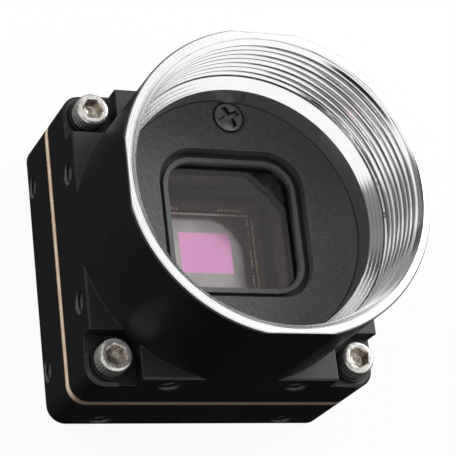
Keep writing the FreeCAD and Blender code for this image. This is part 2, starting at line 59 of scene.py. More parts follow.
# ---------------------------------------------------------------- sizes
# lens thread: 1 inch, 32 turns to the inch
PITCH = 25.4 / 32 * MM
MINOR_R = 12.25 * MM
DEPTH_SHARE = 0.5413          # of the pitch
ROOT_R = MINOR_R + DEPTH_SHARE * PITCH
CREST_SHARE, ROOT_SHARE = 0.17, 0.125    # of a turn
FLANK_SHARE = (1.0 - CREST_SHARE - ROOT_SHARE) / 2
FLANK_ROUND = 0.45            # 0 for a straight flank
THREAD_PHASE = 0.10           # turns, where the thread meets the ring's face
THREAD_END = 6.1 * MM
LEAD_IN_R = 12.87 * MM
LEAD_IN_DEPTH = 0.5 * MM
RUNOUT_START = 6.45 * MM      # a cone leads from the thread to the smooth bore
RUNOUT_END = 7.25 * MM
# lens ring
BORE_R = 11.36 * MM
BODY_R = 13.0 * MM
LIP_R = 13.5 * MM
LIP_T = 0.25 * MM
LIP_BREAK = 0.07 * MM
# below the thread, down to the smooth bore: radius and height
RUNOUT = ((MINOR_R, -THREAD_END), (MINOR_R, -RUNOUT_START), (BORE_R, -RUNOUT_END))
FACE, THREAD, BORE = 0, 1, 2  # materials of the ring
RING_STEPS = 360
FLANK_STEPS = 6
RING_SHARP = 24               # degrees: edges over this angle stay sharp
# housing screws
HEAD_R = 1.5 * MM
HEAD_H = 1.6 * MM
HEAD_ROUND = 0.3 * MM
HEAD_BREAK = 0.03 * MM
FOOT_BREAK = 0.1 * MM
SHANK_R = 0.8 * MM
SHANK_BREAK = 0.15 * MM
SOCKET_AF = 1.5 * MM
SOCKET_DEPTH = 0.8 * MM
SOCKET_RIM = (0.14 * MM, -0.01 * MM)     # chamfer round the socket: growth and height
SOCKET_NECK = (0.02 * MM, -0.09 * MM)
SOCKET_SHADE = -0.04 * MM     # painted shade: below this the socket's walls get a darker, browner steel
SOCKET_REACH = 0.62           # of the width across flats, a circle round the socket
DRILL_R = 0.3 * MM            # point of the drill that made the socket
DRILL_EDGE, DRILL_POINT = 0.03 * MM, 0.18 * MM
KNURLS = 36
KNURL_STEPS = 6
KNURL_DEPTH = 0.06 * MM
KNURL_FOOT = (0.06 * MM, 0.14 * MM)      # above the foot: no knurl yet, full knurl
KNURL_TOP = (0.12 * MM, 0.05 * MM)       # below the round edge: full knurl, none
ROUND_STEPS = 5
SCREW_TURNS = {(1, 1): 10, (1, -1): 25, (-1, 1): 0, (-1, -1): 35}    # degrees, by corner
SCREW_SHARP = 28
# retainer screws
RETAINER_HEAD_R = 1.34 * MM
RETAINER_HEAD_H = 0.6 * MM
RETAINER_CROWN = 0.16 * MM    # fall of the rounded head at its rim
RETAINER_RIM = 0.24 * MM
RETAINER_TURN = 28            # degrees
RETAINER_STEPS, RETAINER_RINGS = 168, 56
CROSS_HALF = 0.98 * MM
CROSS_W = 0.26 * MM
CROSS_TAPER = 0.25
CROSS_DEPTH = 0.42 * MM
CROSS_SLOPE = 0.10 * MM
# tapped holes in the sides
HOLE_R = 1.05 * MM
HOLE_DEPTH = 3.0 * MM
HOLE_PITCH = 0.45 * MM
HOLE_THREAD = 0.09 * MM
HOLE_MOUTH = 0.12 * MM        # no thread this near the mouth
HOLE_FIT = 0.01 * MM
HOLE_END = 0.02 * MM
HOLE_STEPS = 40
FRONT_HOLES = (5.85 * MM, 11.4 * MM)     # off the middle, and above the rear face
REAR_HOLES = (8.7 * MM, 1.5 * MM)
# sensor die
ACTIVE_HALF = (2.46 * MM, 1.89 * MM)
LIT_PATCH_HALF = (3.55 * MM, 3.3 * MM)
SHADOW_ARC_FROM = (0.2 * MM, -0.6 * MM)         # painted shadow: a wide arc takes off one corner of the pale patch painted as light on the die
SHADOW_ARC_REACH = (3.4 * MM, 3.8 * MM)
# painted highlight: thin light lines on the die, standing in for the highlight along the package's
# shelf edge
HIGHLIGHT_LINE_Y, HIGHLIGHT_LINE_X = 3.70 * MM, 4.30 * MM
HIGHLIGHT_LINE_HALF = 0.09 * MM


# ---------------------------------------------------------------- meshes and pieces
def link(name, mesh):
    obj = bpy.data.objects.new(name, mesh)
    bpy.context.scene.collection.objects.link(obj)
    return obj


def to_mesh(bm, name):
    mesh = bpy.data.meshes.new(name)
    bm.to_mesh(mesh)
    bm.free()
    return mesh


def clean(bm, merge=TINY):
    """Merges points that meet, drops slivers and turns the faces outwards."""
    bmesh.ops.remove_doubles(bm, verts=bm.verts, dist=merge)
    bmesh.ops.dissolve_degenerate(bm, edges=bm.edges, dist=TINY)
    bmesh.ops.recalc_face_normals(bm, faces=bm.faces)


def sharp_by_angle(mesh, degrees):
    """Smooth shading, with edges over an angle kept sharp."""
    bm = bmesh.new()
    bm.from_mesh(mesh)
    for face in bm.faces:
        face.smooth = True
    for edge in bm.edges:
        angle = edge.calc_face_angle(0.0) if len(edge.link_faces) == 2 else math.pi
        edge.smooth = angle < math.radians(degrees)
    bm.to_mesh(mesh)
    bm.free()


def add_piece(mesh, materials, sharp, replaced=None):
    """The mesh as a piece of the part, under the mesh's own name."""
    for material in materials:
        mesh.materials.append(material)
    sharp_by_angle(mesh, sharp)
    piece = link(mesh.name, mesh)
    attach(piece, "root")
    if replaced:
        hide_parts(replaced)


def copies(name, mesh, places):
    """One mesh made of copies of another at several places, given as matrices."""
    bm = bmesh.new()
    for place in places:
        copy = mesh.copy()
        copy.transform(place)
        bm.from_mesh(copy)
        bpy.data.meshes.remove(copy)
    return to_mesh(bm, name)


def turned_mesh(name, rings, steps):
    """Closed mesh of rings; each gives (radius, height) at an angle, or one pole's height."""
    bm = bmesh.new()
    angles = [TURN * k / steps for k in range(steps)]
    rows = []
    for ring in rings:
        if callable(ring):
            rows.append([bm.verts.new((r * math.cos(a), r * math.sin(a), z))
                         for a in angles for r, z in (ring(a),)])
        else:
            rows.append([bm.verts.new((0, 0, ring))] * steps)
    for low, high in zip(rows, rows[1:]):
        for k in range(steps):
            n = (k + 1) % steps
            corners = []
            for v in (low[k], low[n], high[n], high[k]):
                if v not in corners:
                    corners.append(v)
            bm.faces.new(corners)
    bmesh.ops.recalc_face_normals(bm, faces=bm.faces)
    return to_mesh(bm, name)


def level(radius, height):
    return lambda angle: (radius, height)


# ---------------------------------------------------------------- node helpers
class Nodes:
    """A node tree, with small helpers that add nodes and return their outputs."""

    def __init__(self, tree):
        self.tree = tree
        self.coord = self.node("ShaderNodeTexCoord")

    def node(self, kind, **settings):
        made = self.tree.nodes.new(kind)
        for key, value in settings.items():
            setattr(made, key, value)
        return made

    def join(self, out, into):
        self.tree.links.new(out, into)

    def put(self, value, socket):
        """Joins an output to a socket, or sets a number or colour on it."""
        if isinstance(value, tuple):
            socket.default_value = (*value, 1.0)
        elif isinstance(value, (int, float)):
            socket.default_value = value
        else:
            self.join(value, socket)

    def math(self, operation, a, b=None, clamp=False):
        node = self.node("ShaderNodeMath", operation=operation, use_clamp=clamp)
        self.put(a, node.inputs[0])
        if b is not None:
            self.put(b, node.inputs[1])
        return node.outputs[0]

    def dot(self, a):
        """Vector node for a dot product, with one side joined."""
        node = self.node("ShaderNodeVectorMath", operation="DOT_PRODUCT")
        self.join(a, node.inputs[0])
        return node

    def axis(self, vector, index):
        split = self.node("ShaderNodeSeparateXYZ")
        self.join(vector, split.inputs[0])
        return split.outputs[index]

    def span(self, fac, low, high, start=0.0, end=1.0, kind="LINEAR"):
        """Number from low to high as fac goes from start to end."""
        rng = self.node("ShaderNodeMapRange", interpolation_type=kind)
        rng.inputs["From Min"].default_value = start
        rng.inputs["From Max"].default_value = end
        rng.inputs["To Min"].default_value = low
        rng.inputs["To Max"].default_value = high
        self.join(fac, rng.inputs["Value"])
        return rng.outputs["Result"]


class Build(Nodes):
    """One node material: a Principled surface and small helpers to feed it."""

    def __init__(self, name, colour, metallic=0.0, roughness=0.5, **sockets):
        self.mat = bpy.data.materials.new(name)
        self.mat.use_nodes = True
        super().__init__(self.mat.node_tree)
        self.surface = self.tree.nodes["Principled BSDF"]
        self.put(colour, self.surface.inputs["Base Color"])
        self.put(metallic, self.surface.inputs["Metallic"])
        self.put(roughness, self.surface.inputs["Roughness"])
        for key, value in sockets.items():
            self.put(value, self.surface.inputs[key.replace("_", " ")])
        self.place = self.coord.outputs["Object"]

    def noise(self, scale, detail=4.0, rough=0.6, stretch=(1, 1, 1)):
        mapping = self.node("ShaderNodeMapping")
        mapping.inputs["Scale"].default_value = stretch
        self.join(self.place, mapping.inputs["Vector"])
        tex = self.node("ShaderNodeTexNoise")
        tex.inputs["Scale"].default_value = scale
        tex.inputs["Detail"].default_value = detail
        tex.inputs["Roughness"].default_value = rough
        self.join(mapping.outputs["Vector"], tex.inputs["Vector"])
        return tex.outputs["Fac"]

    def ramp(self, fac, low, high, start=0.3, end=0.7):
        """Colour from low to high as fac goes from start to end."""
        ramp = self.node("ShaderNodeValToRGB")
        for element, place, colour in zip(ramp.color_ramp.elements, (start, end), (low, high)):
            element.position = place
            element.color = (*colour, 1.0)
        self.join(fac, ramp.inputs["Fac"])
        return ramp.outputs["Color"]

    def mix(self, fac, a, b):
        """Colour mix; a and b are colours or outputs."""
        node = self.node("ShaderNodeMix", data_type="RGBA")
        self.join(fac, node.inputs["Factor"])
        self.put(a, node.inputs[6])
        self.put(b, node.inputs[7])
        return node.outputs[2]

    def colour(self, out):
        self.join(out, self.surface.inputs["Base Color"])

    def roughness(self, out):
        self.join(out, self.surface.inputs["Roughness"])

    def bump(self, height, distance, strength, normal=None):
        bump = self.node("ShaderNodeBump")
        bump.inputs["Strength"].default_value = strength
        bump.inputs["Distance"].default_value = distance
        self.join(height, bump.inputs["Height"])
        if normal is not None:
            self.join(normal, bump.inputs["Normal"])
        self.join(bump.outputs["Normal"], self.surface.inputs["Normal"])

    def bevel(self, radius):
        node = self.node("ShaderNodeBevel", samples=6)
        node.inputs["Radius"].default_value = radius
        return node.outputs["Normal"]

    def normal(self):
        return self.node("ShaderNodeNewGeometry").outputs["Normal"]

    def edge_mask(self, radius, gain):
        """1 on edges, 0 on flat faces."""
        dot = self.dot(self.bevel(radius))
        self.join(self.normal(), dot.inputs[1])
        off = self.math("SUBTRACT", 1.0, dot.outputs["Value"])
        return self.math("MULTIPLY", off, gain, clamp=True)

    def near(self, value, middle, half):
        """1 within half of the middle, 0 beyond."""
        off = self.math("ABSOLUTE", self.math("SUBTRACT", value, middle))
        return self.math("LESS_THAN", off, half)

    def swap_shader(self, share, other):
        """Another shader takes the surface's place by a share."""
        mix = self.node("ShaderNodeMixShader")
        self.join(share, mix.inputs["Fac"])
        self.join(self.surface.outputs["BSDF"], mix.inputs[1])
        self.join(other, mix.inputs[2])
        out = self.tree.nodes["Material Output"]
        self.join(mix.outputs["Shader"], out.inputs["Surface"])


# ---------------------------------------------------------------- materials
def anodised(name, base, light, grain, edge, roughness, gloss=0.35):
    """Fine satin anodising, with a painted highlight: the colour is lighter along its edges."""
    b = Build(name, base, 0.0, roughness, Specular_IOR_Level=gloss)
    fine = b.noise(9000, 5, 0.65)
    tone = b.ramp(fine, base, light, 0.35, 0.75)
    # painted highlight: the edge colour is mixed in along the edges, standing in for light that the
    # edges catch
    b.colour(b.mix(b.edge_mask(0.07 * MM, 2.2), tone, edge))
    b.roughness(b.span(b.noise(260, 3, 0.5), roughness - 0.05, roughness + 0.06, 0.3, 0.7))
    b.bump(fine, grain, 0.5, b.bevel(0.05 * MM))
    return b.mat


def turned(name, tint, roughness, line_scale, line_depth, lines):
    """Bright turned metal with fine tool lines round its axis: RINGS on a face, BANDS in a bore."""
    b = Build(name, tint, 1.0, roughness)
    wave = b.node("ShaderNodeTexWave", wave_type=lines, rings_direction="Z", bands_direction="Z")
    wave.inputs["Scale"].default_value = line_scale
    wave.inputs["Distortion"].default_value = 1.2
    wave.inputs["Detail"].default_value = 3.0
    wave.inputs["Detail Scale"].default_value = 0.4
    b.join(b.place, wave.inputs["Vector"])
    b.colour(b.ramp(b.noise(600), tuple(c * 0.96 for c in tint), tint, 0.35, 0.65))
    b.roughness(b.span(wave.outputs["Fac"], roughness - 0.04, roughness + 0.06))
    b.bump(wave.outputs["Fac"], line_depth, 0.6)
    return b.mat


def stretch(mat, amount, turn):
    """Highlights stretched across the tool lines that run round the Z axis."""
    tree = mat.node_tree
    surface = tree.nodes["Principled BSDF"]
    surface.inputs["Anisotropic"].default_value = amount
    surface.inputs["Anisotropic Rotation"].default_value = turn
    tangent = tree.nodes.new("ShaderNodeTangent")
    tangent.direction_type = "RADIAL"
    tangent.axis = "Z"
    tree.links.new(tangent.outputs["Tangent"], surface.inputs["Tangent"])
    return mat


def steel(name, tint, roughness, grain, dark=0.8, metallic=1.0):
    """Metal with darker flecks, down to a share of its tint, and a fine grain."""
    b = Build(name, tint, metallic, roughness)
    spots = b.noise(3500, 4, 0.7)
    b.colour(b.ramp(spots, tuple(c * dark for c in tint), tint, 0.3, 0.6))
    b.roughness(b.span(b.noise(1200), roughness - 0.06, roughness + 0.1, 0.3, 0.7))
    b.bump(spots, grain, 0.6, b.bevel(0.05 * MM))
    return b.mat


def moulded(name, low, high, roughness, grain, scale=5000):
    """Moulded or pressed stuff: two tones in a fine grain."""
    b = Build(name, low, 0.0, roughness)
    spots = b.noise(scale)
    b.colour(b.ramp(spots, low, high))
    b.roughness(b.span(b.noise(scale / 6), roughness - 0.05, roughness + 0.07, 0.3, 0.7))
    b.bump(spots, grain, 0.5)
    return b.mat


def glass(name, tint, reflect):
    """Flat coated glass that lets the lamps' light straight through to what lies behind it."""
    b = Build(name, tint, 0.0, 0.0, Transmission_Weight=1.0, IOR=1.5, Specular_IOR_Level=0.12,
              Specular_Tint=reflect)
    b.colour(b.ramp(b.noise(300, 2, 0.4), tuple(c * 0.985 for c in tint), tint))
    clear = b.node("ShaderNodeBsdfTransparent")
    b.put(tint, clear.inputs["Color"])
    ray = b.node("ShaderNodeLightPath")
    b.swap_shader(ray.outputs["Is Shadow Ray"], clear.outputs["BSDF"])
    return b.mat


def gasket_material():
    """Grey rubber whose low flange, down in the groove round the lip, is painted darker as shade.
    """
    b = Build("grey_rubber", (0.14, 0.143, 0.148), 0.0, 0.42)
    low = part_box("filter_gasket")[0].z
    spots = b.noise(5000)
    lip = b.ramp(spots, (0.115, 0.118, 0.122), (0.165, 0.168, 0.173))
    # painted shade: the flange's colour is near black, for the shade in the groove round the lip
    painted_shade_flange = b.ramp(spots, (0.014, 0.014, 0.015), (0.030, 0.030, 0.032))
    raised = b.span(b.axis(b.place, 2), 0, 1, low + 0.29 * MM, low + 0.42 * MM)
    b.colour(b.mix(raised, painted_shade_flange, lip))
    b.roughness(b.span(b.noise(830), 0.37, 0.49, 0.3, 0.7))
    b.bump(spots, 0.000006, 0.5)
    return b.mat


def die_material():
    """Polished silicon: pink active area, brown circuits, a pale patch painted as light with a
    painted shadow arc on one corner, and thin light lines painted as a highlight round them.
    """
    b = Build("silicon", (0.16, 0.11, 0.09), 0.85, 0.27)
    x, y = b.axis(b.place, 0), b.axis(b.place, 1)

    def inside(half):
        """Distance from the edge of a rectangle round the middle, positive inside."""
        gaps = [b.math("SUBTRACT", size, b.math("ABSOLUTE", v)) for v, size in zip((x, y), half)]
        return b.math("MINIMUM", *gaps)

    active = b.span(inside(ACTIVE_HALF), 0, 1, -0.02 * MM, 0.02 * MM)
    squares = []
    for v, start, reach in zip((x, y), SHADOW_ARC_FROM, SHADOW_ARC_REACH):
        past = b.math("DIVIDE", b.math("SUBTRACT", v, start), reach)
        squares.append(b.math("POWER", b.math("MAXIMUM", past, 0.0), 2.0))
    # painted shadow: the arc's edge, where the lit patch gives way to shade
    shadow_arc_in = b.math("MULTIPLY", b.math("SUBTRACT", 1.0, b.math("ADD", *squares)), 1.8 * MM)
    painted_light_patch = b.span(b.math("MINIMUM", inside(LIT_PATCH_HALF), shadow_arc_in), 0, 1, -0.12 * MM, 0.22 * MM)
    circuits = b.node("ShaderNodeTexBrick")
    b.put(2600, circuits.inputs["Scale"])
    b.put((0.12, 0.08, 0.07), circuits.inputs["Color1"])
    b.put((0.20, 0.13, 0.11), circuits.inputs["Color2"])
    b.put((0.07, 0.05, 0.05), circuits.inputs["Mortar"])
    b.join(b.place, circuits.inputs["Vector"])
    # painted light: the pale grey of the lit patch on the die
    tone = b.ramp(b.noise(500, 3, 0.5), (0.52, 0.51, 0.50), (0.66, 0.66, 0.65))
    body = b.mix(painted_light_patch, circuits.outputs["Color"], tone)
    # painted highlight: light lines, the side one broken into beads
    beads = b.math("GREATER_THAN", b.noise(1400, 3, 0.7), 0.48)
    side_line = b.math("MULTIPLY", b.near(x, HIGHLIGHT_LINE_X, HIGHLIGHT_LINE_HALF), beads)
    painted_highlight_lines = b.math("MAXIMUM", b.near(y, HIGHLIGHT_LINE_Y, HIGHLIGHT_LINE_HALF), side_line)
    body = b.mix(painted_highlight_lines, body, (1.0, 0.93, 0.84))
    b.colour(b.mix(active, body, (1.0, 0.47, 0.84)))
    rough = b.span(b.noise(4000), 0.27, 0.30, 0.3, 0.7)
    b.roughness(b.math("SUBTRACT", rough, b.math("MULTIPLY", active, 0.14)))
    return b.mat


def board_edge():
    """Gold plated board edge between two copper lines, with green solder mask on its faces."""
    b = Build("plated_board", (0.62, 0.46, 0.27), 0.15, 0.38)
    streaks = b.noise(700, 4, 0.6, (1, 1, 0.2))
    gold = b.ramp(streaks, (0.72, 0.56, 0.40), (0.95, 0.83, 0.68))
    low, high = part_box("sensor_board")
    off = b.math("ABSOLUTE", b.math("SUBTRACT", b.axis(b.place, 2), (low.z + high.z) / 2))
    copper = b.span(off, 0, 1, 0.28 * MM, 0.42 * MM)
    edge = b.mix(copper, gold, (0.30, 0.13, 0.06))
    flat = b.math("GREATER_THAN", b.math("ABSOLUTE", b.axis(b.normal(), 2)), 0.5)
    b.colour(b.mix(flat, edge, (0.005, 0.028, 0.014)))
    b.bump(b.noise(9000), 0.000004, 0.6)
    return b.mat


def grey(value):
    return (value, value, value)


def dress_nodes():
    """A material for every CAD node that stays in view."""
    # black anodising: grey(0.13) is its painted edge highlight
    black = anodised("black_anodised", (0.008, 0.008, 0.0083), (0.018, 0.018, 0.0184),
                     0.000008, grey(0.13), 0.43, 0.55)
    plastic = moulded("dark_plastic", (0.016, 0.016, 0.017), (0.028, 0.028, 0.029), 0.5, 0.000006)
    chip = moulded("chip_black", (0.012, 0.012, 0.013), (0.022, 0.022, 0.023), 0.6, 0.000008)
    capacitor = moulded("capacitor", (0.30, 0.22, 0.15), (0.38, 0.28, 0.19), 0.45, 0.000005)
    materials = {
        "front_housing": black,
        "rear_housing": black,
        # grey anodising: (0.40, 0.41, 0.41) is its painted edge highlight, a thin bright line round
        # the window
        "retainer_plate": anodised("grey_anodised", (0.058, 0.061, 0.066), (0.195, 0.200, 0.212),
                                   0.000026, (0.40, 0.41, 0.41), 0.48),
        "filter_gasket": gasket_material(),
        "ir_filter": glass("filter_glass", (0.99, 0.965, 0.965), (0.74, 0.68, 0.70)),
        "sensor_cover_glass": glass("cover_glass", grey(0.99), grey(0.15)),
        "sensor_gasket": moulded("black_foam", (0.062, 0.053, 0.055), (0.088, 0.076, 0.079),
                                 0.85, 0.00003, 3000),
        "sensor_package": moulded("ceramic", (0.095, 0.072, 0.068), (0.13, 0.098, 0.092),
                                  0.5, 0.000005),
        "sensor_die": die_material(),
        "sensor_capacitors": capacitor,
        "board_capacitors": capacitor,
        "bond_fingers": steel("gold_fingers", (0.98, 0.80, 0.54), 0.3, 0.000002),
        "usb_contacts": steel("gold_contacts", (0.85, 0.62, 0.30), 0.28, 0.000002, 0.85),
        "io_pins": steel("gold_pins", (0.85, 0.64, 0.32), 0.3, 0.000002, 0.85),
        "sensor_board": board_edge(),
        "processor_board": moulded("green_board", (0.012, 0.07, 0.032), (0.018, 0.10, 0.045),
                                   0.4, 0.000004),
        "processor_chip": chip,
        "memory_chip": chip,
        "power_inductor": chip,
        "usb_shell": steel("tin_sheet", (0.66, 0.66, 0.64), 0.3, 0.000004),
        "usb_tongue": plastic,
        "io_header": plastic,
        "mezzanine_socket": plastic,
        "mezzanine_plug": plastic,
        "clock_oscillator": steel("oscillator_can", (0.6, 0.6, 0.58), 0.35, 0.000004),
        "board_screws": steel("board_screw_steel", (0.20, 0.205, 0.21), 0.38, 0.000006),
        "screw_washers": steel("washer_dark", (0.035, 0.036, 0.038), 0.45, 0.000006),
        "thermal_pad": moulded("thermal_pad", (0.25, 0.30, 0.36), (0.30, 0.36, 0.42),
                               0.8, 0.00001),
        "status_led": moulded("led_resin", (0.75, 0.78, 0.70), (0.82, 0.85, 0.78),
                              0.2, 0.000002),
        "light_pipe": moulded("pipe_resin", (0.70, 0.73, 0.71), (0.78, 0.80, 0.78),
                              0.25, 0.000002),
    }
    for name, material in materials.items():
        slots = frame["nodes"][name].data.materials
        slots.clear()
        slots.append(material)


# ---------------------------------------------------------------- threaded ring
def rounded(share):
    """Flank of the thread from 0 to 1, steeper in its middle."""
    return share - FLANK_ROUND * math.sin(TURN * share) / TURN


def thread_radius(turns):
    """Radius of the thread at a phase in turns: crest, flank, root, flank."""
    phase = turns % 1.0
    depth = ROOT_R - MINOR_R
    if phase < CREST_SHARE:
        return MINOR_R
    phase -= CREST_SHARE
    if phase < FLANK_SHARE:
        return MINOR_R + depth * rounded(phase / FLANK_SHARE)
    phase -= FLANK_SHARE
    if phase < ROOT_SHARE:
        return ROOT_R
    phase -= ROOT_SHARE
    return ROOT_R - depth * rounded(phase / FLANK_SHARE)


def ring_angles(half):
    """Angles round the ring: evenly spaced, and where the lip's round meets its four flats."""
    corner = math.acos(half / LIP_R)
    angles = [TURN * k / RING_STEPS for k in range(RING_STEPS)]
    angles += [side * TURN / 4 + s * corner for side in range(4) for s in (1, -1)]
    return sorted(a % TURN for a in angles)


def thread_steps():
    """Phases of the points in one turn of the thread, evenly spread in each of its four parts."""
    marks = [0.0, CREST_SHARE, CREST_SHARE + FLANK_SHARE, 1.0 - FLANK_SHARE, 1.0]
    return [start + (end - start) * k / FLANK_STEPS
            for start, end in zip(marks, marks[1:]) for k in range(FLANK_STEPS)]


def ring_outside(angle, length, half):
    """Radius and height of the points from the ring's foot, up its outside, to its face."""
    rim = min(LIP_R, half / max(abs(math.cos(angle)), abs(math.sin(angle))))
    return [
        (BORE_R, -length),
        (BODY_R, -length),
        (BODY_R, -LIP_T),
        (rim, -LIP_T),
        (rim, -LIP_BREAK),
        (rim - LIP_BREAK, 0.0),
    ]


def ring_thread(angle, rows):
    """Radius and height of the points down the thread at an angle, cut back by the lead-in."""
    line = []
    for row in rows:
        z = (THREAD_PHASE - row + angle / TURN) * PITCH
        z = max(-THREAD_END, min(0.0, z))
        lead = LEAD_IN_R + (LEAD_IN_R - MINOR_R) * z / LEAD_IN_DEPTH
        line.append((max(thread_radius(row), lead), z))
    return line


def lens_ring():
    """The turned ring as one closed surface, its thread a true right-hand helix."""
    foot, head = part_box("lens_mount_ring")
    steps = thread_steps()
    turns = int(THREAD_END / PITCH) + 2
    rows = [n + s for n in range(turns) for s in steps] + [float(turns)]
    bm = bmesh.new()

    def column(profile, angle):
        return [bm.verts.new((r * math.cos(angle), r * math.sin(angle), head.z + z))
                for r, z in profile]

    def quad(material, a, b, c, d):
        corners = []
        for v in (a, b, c, d):
            if all((v.co - w.co).length > 0.1 * TINY for w in corners):
                corners.append(v)
        if len(corners) > 2:
            bm.faces.new(corners).material_index = material

    def strips(material, a, b):
        for k in range(len(a) - 1):
            quad(material, a[k], b[k], b[k + 1], a[k + 1])

    columns = []
    for angle in ring_angles(head.x):
        outer = column(ring_outside(angle, head.z - foot.z, head.x), angle)
        helix = column(ring_thread(angle, rows), angle)
        inner = column(RUNOUT, angle)
        columns.append((outer, helix, inner))

    last = len(rows) - 1
    for i, (outer, helix, inner) in enumerate(columns):
        next_outer, next_helix, next_inner = columns[(i + 1) % len(columns)]
        # the helix has fallen one turn when the last column meets the first
        wrap = len(steps) if i == len(columns) - 1 else 0
        beside = next_helix[:1] * wrap + next_helix[:len(rows) - wrap]
        strips(FACE, outer, next_outer)
        quad(FACE, outer[-1], next_outer[-1], beside[0], helix[0])
        strips(THREAD, helix, beside)
        for j in range(last - wrap, last):
            quad(THREAD, helix[last], next_helix[j], next_helix[j + 1], helix[last])
        strips(THREAD, [helix[last]] + inner, [next_helix[last]] + next_inner)
        quad(BORE, inner[-1], next_inner[-1], next_outer[0], outer[0])
    clean(bm)
    materials = (
        # one steel in three tints, set apart for light and shade: painted light on the thread,
        # painted shade in the bore
        turned("ring_face", grey(0.84), 0.30, 1500, 0.000004, "RINGS"),
        turned("ring_thread", (0.97, 0.97, 0.965), 0.12, 1400, 0.000010, "BANDS"),
        stretch(turned("ring_bore", (0.64, 0.65, 0.66), 0.26, 2200, 0.000006, "BANDS"), 0.85, 0.25),
    )
    add_piece(to_mesh(bm, "threaded_ring"), materials, RING_SHARP,
              "lens_mount_ring")


# ---------------------------------------------------------------- screws and tapped holes
def knurled(z):
    def ring(angle):
        wave = abs((angle * KNURLS / TURN) % 1.0 - 0.5) * 2
        return HEAD_R - KNURL_DEPTH * wave, z
    return ring


def hexagon(grow, z):
    def ring(angle):
        off = angle % (TURN / 6) - TURN / 12
        return (SOCKET_AF / 2 + grow) / math.cos(off), z
    return ring


def cap_screw(low):
    """Socket head cap screw with its head's top at the origin: knurled side, round edge."""
    rings = [
        low,
        level(SHANK_R - SHANK_BREAK, low),
        level(SHANK_R, low + SHANK_BREAK),
        level(SHANK_R, -HEAD_H),
        level(HEAD_R - FOOT_BREAK, -HEAD_H),
        level(HEAD_R - KNURL_DEPTH, -HEAD_H + KNURL_FOOT[0]),
        knurled(-HEAD_H + KNURL_FOOT[1]),
        knurled(-HEAD_ROUND - KNURL_TOP[0]),
        level(HEAD_R - HEAD_BREAK, -HEAD_ROUND - KNURL_TOP[1]),
    ]
    for k in range(ROUND_STEPS + 1):
        a = TURN / 4 * k / ROUND_STEPS
        radius = HEAD_R - HEAD_BREAK - HEAD_ROUND * (1 - math.cos(a))
        rings.append(level(radius, -HEAD_ROUND * (1 - math.sin(a))))
    rings += [
        hexagon(*SOCKET_RIM),
        hexagon(*SOCKET_NECK),
        hexagon(0.0, -SOCKET_DEPTH),
        level(DRILL_R, -SOCKET_DEPTH - DRILL_EDGE),
        -SOCKET_DEPTH - DRILL_POINT,
    ]
    mesh = turned_mesh("cap_screw", rings, KNURLS * KNURL_STEPS)
    for face in mesh.polygons:
        inside = math.hypot(face.center.x, face.center.y) < SOCKET_REACH * SOCKET_AF
        # painted shade: faces deep in the socket take the second, darker material
        face.material_index = int(inside and -HEAD_H < face.center.z < SOCKET_SHADE)
    return mesh


def housing_screws():
    low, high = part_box("housing_screws")
    centre = high.x - HEAD_R
    places = [
        Matrix.Translation((sx * centre, sy * centre, high.z))
        @ Matrix.Rotation(math.radians(turn), 4, "Z")
        for (sx, sy), turn in SCREW_TURNS.items()
    ]
    materials = (
        steel("cap_screw_steel", (0.90, 0.88, 0.84), 0.20, 0.000012, 0.42, 0.72),
        # painted shade: the second steel darkens the socket
        steel("socket_painted_shade", (0.62, 0.55, 0.47), 0.22, 0.000016, 0.2, 0.7),
    )
    add_piece(copies("cap_screws", cap_screw(low.z - high.z), places), materials, SCREW_SHARP,
              "housing_screws")


def cross_depth(x, y):
    """Depth of the cross recess at a place on the head."""
    arms = []
    for u, v in ((x, y), (y, x)):
        width = CROSS_W * (1.0 - CROSS_TAPER * abs(u) / CROSS_HALF)
        arms.append(min(CROSS_HALF - abs(u), width - abs(v)))
    return CROSS_DEPTH * max(0.0, min(1.0, max(arms) / CROSS_SLOPE + 0.5))


def retainer_screws():
    """Low screws with a rounded head and a tapered cross recess."""
    low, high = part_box("retainer_screws")

    def top(radius):
        def ring(angle):
            z = -RETAINER_CROWN * (radius / RETAINER_HEAD_R) ** 4
            return radius, z - cross_depth(radius * math.cos(angle), radius * math.sin(angle))
        return ring

    shank = low.z - high.z
    rings = [
        shank,
        level(SHANK_R, shank),
        level(SHANK_R, -RETAINER_HEAD_H),
        level(RETAINER_HEAD_R, -RETAINER_HEAD_H),
        level(RETAINER_HEAD_R, -RETAINER_RIM),
    ]
    for k in range(RETAINER_RINGS - 1, 0, -1):
        rings.append(top(RETAINER_HEAD_R * k / RETAINER_RINGS))
    rings.append(-CROSS_DEPTH)
    mesh = turned_mesh("cross_screw", rings, RETAINER_STEPS)
    places = [
        Matrix.Translation((s * (high.x - RETAINER_HEAD_R), s * (high.y - RETAINER_HEAD_R), high.z))
        @ Matrix.Rotation(math.radians(RETAINER_TURN), 4, "Z")
        for s in (1, -1)
    ]
    dark = steel("cross_screw_steel", (0.17, 0.173, 0.178), 0.34, 0.000006, 0.7)
    add_piece(copies("cross_screws", mesh, places), (dark,), SCREW_SHARP,
              "retainer_screws")


